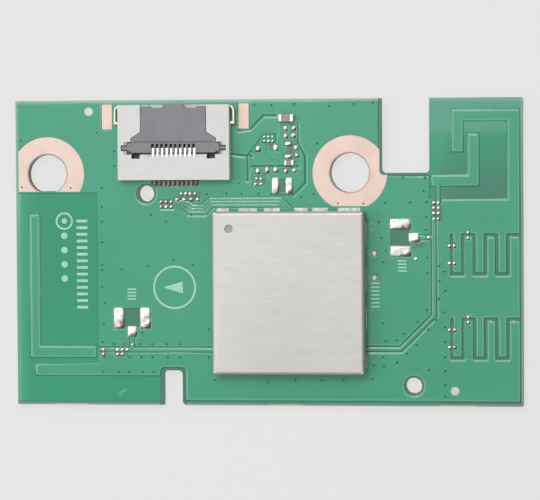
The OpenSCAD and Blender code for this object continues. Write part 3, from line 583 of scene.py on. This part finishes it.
# How far thin layers lie above the foil, so that none hides another
MASK_LIFT, RIM_LIFT, VIA_LIFT, TRACK_LIFT = 0.002 * MM, 0.003 * MM, 0.003 * MM, 0.004 * MM


def merged(node):
    """A CAD node's points without doubles and its triangles as rows of point numbers. Points
    that agree to a ten-thousandth of a millimetre are one."""
    mesh = nodes[node].data
    points = np.empty(len(mesh.vertices) * 3)
    mesh.vertices.foreach_get("co", points)
    points = points.reshape(-1, 3)
    mesh.calc_loop_triangles()
    corners = np.empty(len(mesh.loop_triangles) * 3, np.int32)
    mesh.loop_triangles.foreach_get("vertices", corners)
    _, first, number = np.unique(np.round(points * 1e7).astype(np.int64), axis=0,
                                 return_index=True, return_inverse=True)
    corners = number.reshape(-1)[corners].reshape(-1, 3)
    a, b, c = corners.T
    return points[first], corners[(a != b) & (b != c) & (c != a)]


def solid_boxes(node):
    """The lowest and highest corners of each separate solid of a node. Every triangle gives
    its corners the lowest label among them until no label changes."""
    points, corners = merged(node)
    label = np.arange(len(points))
    while True:
        lowest = label[corners].min(axis=1)
        new = label.copy()
        for k in range(3):
            np.minimum.at(new, corners[:, k], lowest)
        if (new == label).all():
            break
        label = new
    _, group = np.unique(label, return_inverse=True)
    low = np.full((group.max() + 1, 3), np.inf)
    high = -low
    np.minimum.at(low, group, points)
    np.maximum.at(high, group, points)
    return low, high


def add_piece(name, points, faces, slot, body="board", material=None, tone=None):
    """Makes a piece of the object from points and rows of point numbers, and lets it ride on
    its body. tone is a value at each point that its material reads."""
    mesh = bpy.data.meshes.new(name)
    faces = np.asarray(faces, np.int32)
    count, sides = faces.shape
    mesh.vertices.add(len(points))
    mesh.vertices.foreach_set("co", np.asarray(points, np.float32).ravel())
    mesh.loops.add(count * sides)
    mesh.loops.foreach_set("vertex_index", faces.ravel())
    mesh.polygons.add(count)
    mesh.polygons.foreach_set("loop_start", np.arange(0, count * sides, sides, dtype=np.int32))
    mesh.polygons.foreach_set("use_smooth", np.ones(count, bool))
    mesh.update(calc_edges=True)
    mesh.validate()
    if tone is not None:
        mesh.attributes.new("tone", "FLOAT", "POINT").data.foreach_set(
            "value", np.asarray(tone, np.float32).ravel())
    mesh.materials.append(material or finishes[slot])
    piece = bpy.data.objects.new(name, mesh)
    scene.collection.objects.link(piece)
    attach(piece, body)
    return piece


def grid_faces(rows, columns, copies=1):
    """The quads of a grid of points stored row by row, for so many grids one after another."""
    row, column = np.meshgrid(np.arange(rows - 1), np.arange(columns - 1), indexing="ij")
    first = (row * columns + column).ravel()
    quads = np.stack([first, first + 1, first + columns + 1, first + columns], axis=1)
    return (quads[None] + (np.arange(copies) * rows * columns)[:, None, None]).reshape(-1, 4)


def eased_copy(node, name, width, slot, body="board", segments=2, angle=30, join=True):
    """A copy of a CAD node, merged and with its flat faces joined, whose edges sharper than
    angle are eased by width. It stands for the node."""
    points, corners = merged(node)
    copy = add_piece(name, points, corners, slot, body)
    if join:
        work = bmesh.new()
        work.from_mesh(copy.data)
        bmesh.ops.dissolve_limit(work, angle_limit=math.radians(0.5), verts=work.verts,
                                 edges=work.edges)
        work.to_mesh(copy.data)
        work.free()
        for polygon in copy.data.polygons:
            polygon.use_smooth = True
    copy.data.set_sharp_from_angle(angle=math.radians(angle))
    bevel = copy.modifiers.new("eased_edges", "BEVEL")
    bevel.width = width
    bevel.segments = segments
    bevel.limit_method = "ANGLE"
    bevel.angle_limit = math.radians(angle)
    bevel.harden_normals = True
    bevel.use_clamp_overlap = True
    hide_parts(node)


LAND_NODES = ("tinned_lands", "left_probe_lands", "right_probe_lands", "inductor_lands",
              "shield_lands", "connector_lands", "fiducials", "test_points")
LAND_LOW, LAND_HIGH = (np.concatenate(c)[None, :, :2]
                       for c in zip(*(solid_boxes(n) for n in LAND_NODES)))
# The share of the free way to the next edge that a slope may take
ROOM_SHARE = 0.46
# Nearer than this to a land, the mask's slope is no longer than the other two
LAND_MARGIN, SHORT_INSET, SHORT_REACH = 0.25 * MM, 0.1 * MM, 0.09 * MM


def near_lands(plan):
    """How far each point in the plan is from the nearest land's edge."""
    off = np.maximum(LAND_LOW - plan[:, None], plan[:, None] - LAND_HIGH)
    near = np.linalg.norm(np.maximum(off, 0), axis=2).min(axis=1)
    for middle in (LEFT_SCREW, RIGHT_SCREW):
        from_hole = np.linalg.norm(plan - np.array(middle) * MM, axis=1)
        near = np.minimum(near, np.abs(from_hole - SCREW_LAND_R))
    for middle in FIDUCIALS:
        from_spot = np.linalg.norm(plan - np.array(middle) * MM, axis=1)
        near = np.where(from_spot < 1 * MM, 0, near)
    return near


def clear_way(start, end, ways):
    """How far each edge from start to end, in the plan, can move along its own way before it
    meets another edge. It is read at five places on each edge."""
    legs = (end - start)[None]
    nearest = np.full(len(start), np.inf)
    for share in (0.02, 0.26, 0.5, 0.74, 0.98):
        to_edges = start[None] - (start + (end - start) * share)[:, None]
        way = ways[:, None]
        turn = way[..., 0] * legs[..., 1] - way[..., 1] * legs[..., 0]
        turn = np.where(np.abs(turn) < 1e-12, np.inf, turn)
        far = (to_edges[..., 0] * legs[..., 1] - to_edges[..., 1] * legs[..., 0]) / turn
        at = (to_edges[..., 0] * way[..., 1] - to_edges[..., 1] * way[..., 0]) / turn
        meets = (far > 1e-3 * MM) & (at >= 0) & (at <= 1)
        nearest = np.minimum(nearest, np.where(meets, far, np.inf).min(axis=1))
    return nearest


def top_outline(node):
    """The outline of a piece of foil's top face: the foil's points, the outline's edges as
    pairs of point numbers, and the direction out of the foil at each edge. An edge between
    two triangles of the face is there in both directions and drops out."""
    points, corners = merged(node)
    a, b, c = (points[corners[:, k]] for k in range(3))
    normal = np.cross(b - a, c - a)
    normal /= np.maximum(np.linalg.norm(normal, axis=1, keepdims=True), 1e-30)
    top = corners[(normal[:, 2] > 0.9) & (a[:, 2] > FOIL_TOP - 0.2 * FOIL_T)]
    edges = np.concatenate([top[:, [0, 1]], top[:, [1, 2]], top[:, [2, 0]]])
    code = edges[:, 0] * len(points) + edges[:, 1]
    back = edges[:, 1] * len(points) + edges[:, 0]
    edges = edges[~np.isin(code, back)]
    along = points[edges[:, 1]] - points[edges[:, 0]]
    length = np.linalg.norm(along[:, :2], axis=1, keepdims=True)
    return points, edges, np.stack([along[:, 1], -along[:, 0]], axis=1) / length


def mask_skirt(node, name, inset, reach, drop):
    """The solder mask over the edge of a piece of foil. Along each edge of the foil's top
    face, the profile goes from inset inside the edge to reach outside it: level up to the
    edge, then down to the laminate as 1 - t*t*(3 - 2*t), or by the share drop of the way
    where the mask fills a narrow gap. Its tone grows evenly over the whole width. At a corner
    the profile runs along the mitre of the two edges."""
    points, edges, outward = top_outline(node)
    before, after = np.zeros((2, len(points), 2))
    before[edges[:, 1]] = outward
    after[edges[:, 0]] = outward
    mitre = (before + after) / np.maximum(1 + (before * after).sum(1, keepdims=True), 0.5)
    used = np.unique(edges)
    number = np.full(len(points), -1)
    number[used] = np.arange(len(used))
    plan = points[used, :2]
    # In narrow copper and in narrow gaps the slopes of two edges share the room
    room = np.full((len(points), 2), np.inf)
    for side, ways in enumerate((-outward, outward)):
        free = clear_way(points[edges[:, 0], :2], points[edges[:, 1], :2], ways)
        for k in (0, 1):
            np.minimum.at(room[:, side], edges[:, k], free * ROOM_SHARE)
    beside_land = near_lands(plan) < LAND_MARGIN
    inset = np.where(beside_land, min(inset, SHORT_INSET), inset)
    inset = np.minimum(inset, room[used, 0])
    reach = np.where(beside_land, min(reach, SHORT_REACH), reach)
    reach = np.minimum(reach, room[used, 1])
    rings = 9
    t = np.linspace(0, 1, rings)
    offset = t * (inset + reach)[:, None] - inset[:, None]
    down = np.clip(offset / reach[:, None], 0, 1)
    fall = down * down * (3 - 2 * down)
    height = FOIL_TOP + MASK_LIFT - drop * (FOIL_T + 0.003 * MM) * fall
    plan = plan[:, None] + mitre[used, None] * offset[:, :, None]
    tone = np.broadcast_to(t * (0.4 + 0.6 * drop), height.shape)
    ring = np.arange(rings - 1)
    start = number[edges[:, 0]][:, None] * rings + ring
    end = number[edges[:, 1]][:, None] * rings + ring
    faces = np.stack([start, start + 1, end + 1, end], axis=2).reshape(-1, 4)
    places = np.concatenate([plan, height[:, :, None]], axis=2)
    add_piece(name, places.reshape(-1, 3), faces, "masked_copper", tone=tone)


def solder_domes(node, name, rise, lumps=0.15, side=11, sharp=3.0, grow=0.03 * MM,
                 rounding=0.2, boxes=None):
    """A bead of solder on each land of a node, or in each of the boxes. Over u and v from -1
    to 1 the plan is a rectangle with rounded corners, x = u*sqrt(1 - rounding*v*v), and the
    height is rise*(1 - |u|**sharp)**0.5*(1 - |v|**sharp)**0.5, made uneven by slow waves. The
    tone is highest at the near right corner."""
    low, high = boxes or solid_boxes(node)
    middle, half = (low + high) / 2, (high - low) / 2 + grow
    u, v = np.meshgrid(*[np.sin(np.linspace(-1, 1, side) * math.pi / 2)] * 2)
    x = middle[:, 0, None, None] + half[:, 0, None, None] * u * np.sqrt(1 - rounding * v * v)
    y = middle[:, 1, None, None] + half[:, 1, None, None] * v * np.sqrt(1 - rounding * u * u)
    crown = np.sqrt((1 - np.abs(u) ** sharp) * (1 - np.abs(v) ** sharp))
    size = np.minimum(np.minimum(half[:, 0], half[:, 1]) * 2 * rise, 0.22 * MM)
    waves = np.sin(x / MM * 4.3 + y / MM * 2.9) + np.sin(y / MM * 5.1 - x / MM * 2.7)
    z = LAMINATE_TOP + 0.3 * FOIL_T + (0.6 * FOIL_T + size[:, None, None]
                                       * (1 + lumps * waves)) * crown
    rim = (np.abs(u) > 0.999) | (np.abs(v) > 0.999)
    z = np.where(rim, LAMINATE_TOP - 0.001 * MM, z)
    # The tone marks the near right side, which the solder's material darkens with painted shade
    tone = np.broadcast_to(0.5 + 0.3 * u - 0.4 * v, x.shape)
    piece = add_piece(name, np.stack([x, y, z], axis=3).reshape(-1, 3),
                      grid_faces(side, side, len(low)), "solder", tone=tone)
    if node:
        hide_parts(node)


def turned(profile, middles, turn):
    """Surfaces of revolution about upright lines: the profile's rows of radius and height,
    carried round each middle through the angles of turn. Gives x, y and z, each with an axis
    for the middles, one for the profile and one for the angles."""
    radius, height = profile.T[:, None, :, None]
    x = middles[:, 0, None, None] + radius * np.cos(turn)
    y = middles[:, 1, None, None] + radius * np.sin(turn)
    return x, y, np.broadcast_to(height, x.shape)


def via_marks(name, places, base, radius, finish, lift=1.0):
    """A tented hole at each place: a surface of revolution whose profile climbs over a low
    rim at the radius and sinks into a shallow dent, all of it times lift. Where lift is
    negative it faces down. Its tone is 1 in the middle."""
    share, climb = np.array([(0.0, 0.001), (0.4, 0.0015), (0.75, 0.003), (1.0, 0.006),
                             (1.2, 0.006), (1.4, 0.003), (1.6, -0.002)]).T
    profile = np.stack([np.maximum(share, 0.01) * radius, base + climb * lift * MM], axis=1)
    turn = np.arange(15) * TAU / 14
    x, y, z = turned(profile, np.array(places) * MM, turn)
    tone = np.broadcast_to((1 - share / share[-1])[:, None], x.shape)
    faces = grid_faces(len(share), len(turn), len(places))[:, ::-1 if lift > 0 else 1]
    slot = "masked_copper" if finish is tented else "bare_copper"
    add_piece(name, np.stack([x, y, z], axis=3).reshape(-1, 3), faces, slot,
              material=finish, tone=tone)


def sideways(path):
    """The sideways direction at each point of a path, along the mitre of its two legs."""
    legs = np.diff(path, axis=0)
    side = np.stack([-legs[:, 1], legs[:, 0]], axis=1)
    side /= np.linalg.norm(side, axis=1, keepdims=True)
    before, after = np.vstack([side[:1], side]), np.vstack([side, side[-1:]])
    return (before + after) / (1 + (before * after).sum(1, keepdims=True))


def grooves(name, paths, width, depth=0.5):
    """Fine lines pressed into the mask over the foil, where moats run under it. Across each
    path the tone is depth*(1 - |s|) for s from -1 to 1, and the surface is level."""
    s = np.array([1, 0.5, 0, -0.5, -1])
    places, tones, faces, count = [], [], [], 0
    for path in paths:
        path = np.array(path) * MM
        plan = path[:, None] + sideways(path)[:, None] * (s * width / 2)[None, :, None]
        z = np.full((*plan.shape[:2], 1), FOIL_TOP + TRACK_LIFT)
        places.append(np.concatenate([plan, z], axis=2).reshape(-1, 3))
        tones.append(np.tile(depth * (1 - np.abs(s)), len(path)))
        faces.append(grid_faces(len(path), len(s))[:, ::-1] + count)
        count += len(places[-1])
    add_piece(name, np.concatenate(places), np.concatenate(faces), "masked_copper",
              tone=np.concatenate(tones))


def hole_rim(name, middle, inner, outer, base, slot, start=0.0, end=TAU, material=None,
             toned=True):
    """The eased rim of a hole, or a ring about a land: a flat ring from the outer radius to
    the inner one and from one angle to the other. Where it is toned, its tone grows evenly
    from 0 to 1 towards the hole."""
    rings, spokes = 4, 64
    turn = np.linspace(start, end, spokes + 1)
    t = np.linspace(0, 1, rings)
    profile = np.stack([outer + (inner - outer) * t, np.full(rings, base + RIM_LIFT)], axis=1)
    x, y, z = turned(profile, np.array([middle]) * MM, turn)
    tone = np.broadcast_to(t[:, None], x.shape) if toned else None
    add_piece(name, np.stack([x, y, z], axis=3).reshape(-1, 3),
              grid_faces(rings, spokes + 1), slot, material=material, tone=tone)


def corner_seams():
    """The can's closed corners: four upright surfaces of revolution, each a post with a
    rounded top."""
    profile = np.array([(0.27, 0.1), (0.29, 0.14), (0.29, 1.8), (0.26, 1.89), (0.19, 1.94),
                        (0.08, 1.96), (0.0, 1.96)]) * MM + [0, CAN_LOW[2]]
    turn = np.arange(17) * TAU / 16
    corners = np.array([(a, b) for a in (CAN_LOW[0] + 0.3 * MM, CAN_HIGH[0] - 0.3 * MM)
                        for b in (CAN_LOW[1] + 0.3 * MM, CAN_HIGH[1] - 0.3 * MM)])
    places = np.stack(turned(profile, corners, turn), axis=3)
    add_piece("can_corner_seams", places.reshape(-1, 3),
              grid_faces(len(profile), len(turn), len(corners)), "shield_steel")


def column(x, *heights):
    """Places one above another in the plan."""
    return [(x, y) for y in heights]


def row(y, *widths):
    """Places side by side in the plan."""
    return [(x, y) for x in widths]


# ---------- the board and its foil ----------

for part in frame["record"]["subparts"]:
    mesh = nodes[part["node"]].data
    mesh.materials.clear()
    mesh.materials.append(finishes[part["material_slot"]])

nodes["shield_lands"].data.materials[0] = land_finish
eased_copy("board", "board_panel", 0.05 * MM, "laminate", angle=50, join=False)

# How far the mask's slope goes inside and outside each foil's edge, in mm, and its drop
FOILS = {"ground_foil": (0.24, 0.1, 1), "left_antenna": (0.27, 0.1, 1),
         "right_antenna": (0.27, 0.1, 1), "left_feed_line": (0.16, 0.1, 0.7),
         "right_feed_line": (0.16, 0.1, 0.7), "data_lines": (0.1, 0.09, 0.3)}
for node, (inset, reach, drop) in FOILS.items():
    mask_skirt(node, node + "_edge", inset * MM, reach * MM, drop)

VIAS = (
    column(-18.05, 5.0, 3.4, 1.15, -1.3, -3.7, -9.7) + [(-17.8, -5.4)]
    + row(-9.9, -16.8, -15.7, -13.9, -12.6, -11.0, -9.6)
    + row(-11.3, -17.9, -15.1, -13.8, -12.6, -10.9, -9.6)
    + row(-12.9, -18.1, -16.35, -15.15, -13.7, -12.5)
    + column(19.15, -8.0, -9.6, -11.2, -12.7, -14.2, -15.45)
    + [(12.75, 5.3), (15.5, 5.35), (17.25, 5.4), (16.95, 6.55), (14.7, 8.0), (17.1, 7.95),
       (12.4, 1.55), (12.85, 0.15), (17.15, 2.4), (17.2, 3.8), (17.3, -0.55), (12.5, -1.05),
       (12.5, -7.6), (12.5, -11.2), (14.0, -11.8), (17.4, -8.3), (18.2, -7.2),
       (18.55, -1.45), (18.6, -3.1), (18.55, -5.0), (19.2, -4.1), (17.3, -2.2),
       (16.1, -9.9), (15.05, -10.85), (16.2, -7.4), (14.8, -8.7), (13.95, -9.4),
       (12.8, -9.5), (17.4, -12.6), (11.35, -13.55)]
    + [(-3.0, 7.5), (-6.5, 6.3), (-12.65, 4.1), (-18.5, 13.0), (-26.9, 12.2), (-8.2, 4.15),
       (-11, 3.4), (-10.2, -0.8), (-8.1, -1.3), (-13, -1.4), (-15.9, -1.8), (-17.9, -7.8),
       (3.75, 5.95), (5.1, 6.3), (9.5, 15.9), (6.8, 15.7), (11.5, 16.0),
       (3.0, 15.95), (0.6, 15.85), (-1.25, 15.9), (5.5, 11.7), (-4.35, 6.4), (-2.7, 6.35),
       (-0.9, 6.35), (-18.0, 7.05), (-16.6, 11.0), (-16.6, 9.4), (-18.05, -1.85),
       (-13.7, -8.65), (-6.35, -8.3), (-6.4, -11.3), (-5.8, -13.75), (0.0, -14.0),
       (3.0, -13.75), (5.85, -13.75), (8.2, -13.75), (11.45, -12.1), (12.6, -12.2),
       (17.2, -6.15), (19.1, -6.4), (19.1, -2.05), (12.1, 3.3)])
VIA_R = 0.14 * MM
via_marks("tented_vias", VIAS, FOIL_TOP + VIA_LIFT, VIA_R, tented)
via_marks("underside_vias", VIAS, -0.001 * MM, VIA_R, tented, lift=-0.3)
COPPER_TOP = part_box("left_screw_land")[1][2]
via_marks("screw_land_vias", [(-26.85, 7.15), (-21.45, 7.05), (7.7, 5.3), (10.45, 5.25)],
          COPPER_TOP, 0.13 * MM, open_via)

# The left rim stops where the land does, below the hole
RIM_R, PIN_HOLE_R, PIN_RIM_R = SCREW_HOLE_R + 0.15 * MM, 0.875 * MM, 1.06 * MM
hole_rim("left_screw_rim", LEFT_SCREW, SCREW_HOLE_R, RIM_R, COPPER_TOP, "bare_copper",
         start=-0.33 * math.pi, end=1.33 * math.pi)
hole_rim("right_screw_rim", RIGHT_SCREW, SCREW_HOLE_R, RIM_R, COPPER_TOP, "bare_copper")
for name, middle in (("left_locating_rim", LEFT_PIN), ("right_locating_rim", RIGHT_PIN)):
    hole_rim(name, middle, PIN_HOLE_R, PIN_RIM_R, LAMINATE_TOP, "laminate",
             material=hole_edge)
# The mask reaches over the gap about each fiducial, up to a thin pale line
for name, middle in zip(("left_fiducial", "right_fiducial"), FIDUCIALS):
    hole_rim(name + "_line", middle, 0.38 * MM, 0.5 * MM, FOIL_TOP, "ink")
    hole_rim(name + "_mask", middle, 0.48 * MM, 0.84 * MM, FOIL_TOP + 0.001 * MM,
             "masked_copper", toned=False)
GROOVE_MIDDLE, GROOVE_R = (11.35, 2.75), 0.36
TRACKS = [
    [(10.5, -0.2), (11.25, -0.2)], [(10.5, 0.15), (11.1, 0.15)],
    [(10.5, -2.8), (11.25, -2.8)], [(10.5, -2.45), (11.1, -2.45)],
    [(0.15, 11.6), (0.3, 10.9), (0.6, 10.5), (1.2, 10.2), (1.7, 9.9)],
    [(-0.3, 11.7), (-0.55, 11.4), (-0.4, 11.0)], [(1.1, 10.6), (1.6, 10.8)],
    [(1.45, 13.9), (1.45, 12.4), (1.7, 12.1)], [(3.3, 13.9), (3.3, 12.3)],
    [(2.7, 12.1), (3.2, 11.8), (3.5, 11.3)], [(-0.8, 8.8), (-0.4, 8.2), (0.0, 8.1)],
    [(0.1, 8.4), (0.2, 8.0), (0.5, 7.9)], [(3.1, 9.3), (3.4, 8.9), (3.3, 8.5)],
    [(-1.6, 9.0), (-1.75, 8.2), (-1.7, 7.2)],
    [(-11.95, 7.1), (-11.95, 6.3)], [(-11.55, 7.1), (-11.55, 6.5)],
    [(-11.2, 7.0), (-10.9, 6.6)],
    [(GROOVE_MIDDLE[0] + GROOVE_R * math.cos(k * TAU / 16),
      GROOVE_MIDDLE[1] + GROOVE_R * math.sin(k * TAU / 16)) for k in range(17)],
    [(-10.9, 7.1), (-9.9, 7.1), (-9.6, 6.9)], [(-9.2, 7.3), (-9.2, 6.9)],
    [(-8.6, 7.3), (-8.5, 6.9)], [(-8.1, 7.2), (-7.8, 6.6)],
]
grooves("fine_tracks", TRACKS, 0.2 * MM)

# ---------- solder ----------

solder_domes("tinned_lands", "land_solder", 0.35)
for land in ("left_probe", "right_probe", "inductor"):
    solder_domes(land + "_lands", land + "_solder", 0.2, lumps=0.12, side=21, sharp=6.0,
                 grow=0.07 * MM, rounding=0.06)

# A stray spot of solder beside the right probe's land
spot = np.array([[16.05, -0.7]]) * MM
solder_domes(None, "solder_spot", 0.3, side=13, rounding=0.5,
             boxes=(spot - 0.2 * MM, spot + 0.2 * MM))

# ---------- metal and plastic parts ----------

eased_copy("shield_can", "can_sheet", 0.03 * MM, "shield_steel", angle=50)
corner_seams()
eased_copy("connector_housing", "housing_shell", 0.04 * MM, "white_plastic", angle=40)
eased_copy("connector_latch", "latch_plate", 0.04 * MM, "grey_plastic", body="latch", angle=40)
eased_copy("connector_contacts", "contact_forks", 0.02 * MM, "contact_metal", angle=40)
for hand in ("left", "right"):
    eased_copy(hand + "_solder_clip", hand + "_clip_leaf", 0.03 * MM, "contact_metal",
               angle=50)
for part, width in {"input_capacitor": 0.05, "filter_capacitor": 0.03,
                    "input_capacitor_ends": 0.1, "filter_capacitor_ends": 0.07}.items():
    kind = "solder" if part.endswith("ends") else "ceramic"
    eased_copy(part, part + "_form", width * MM, kind, segments=3, angle=50)
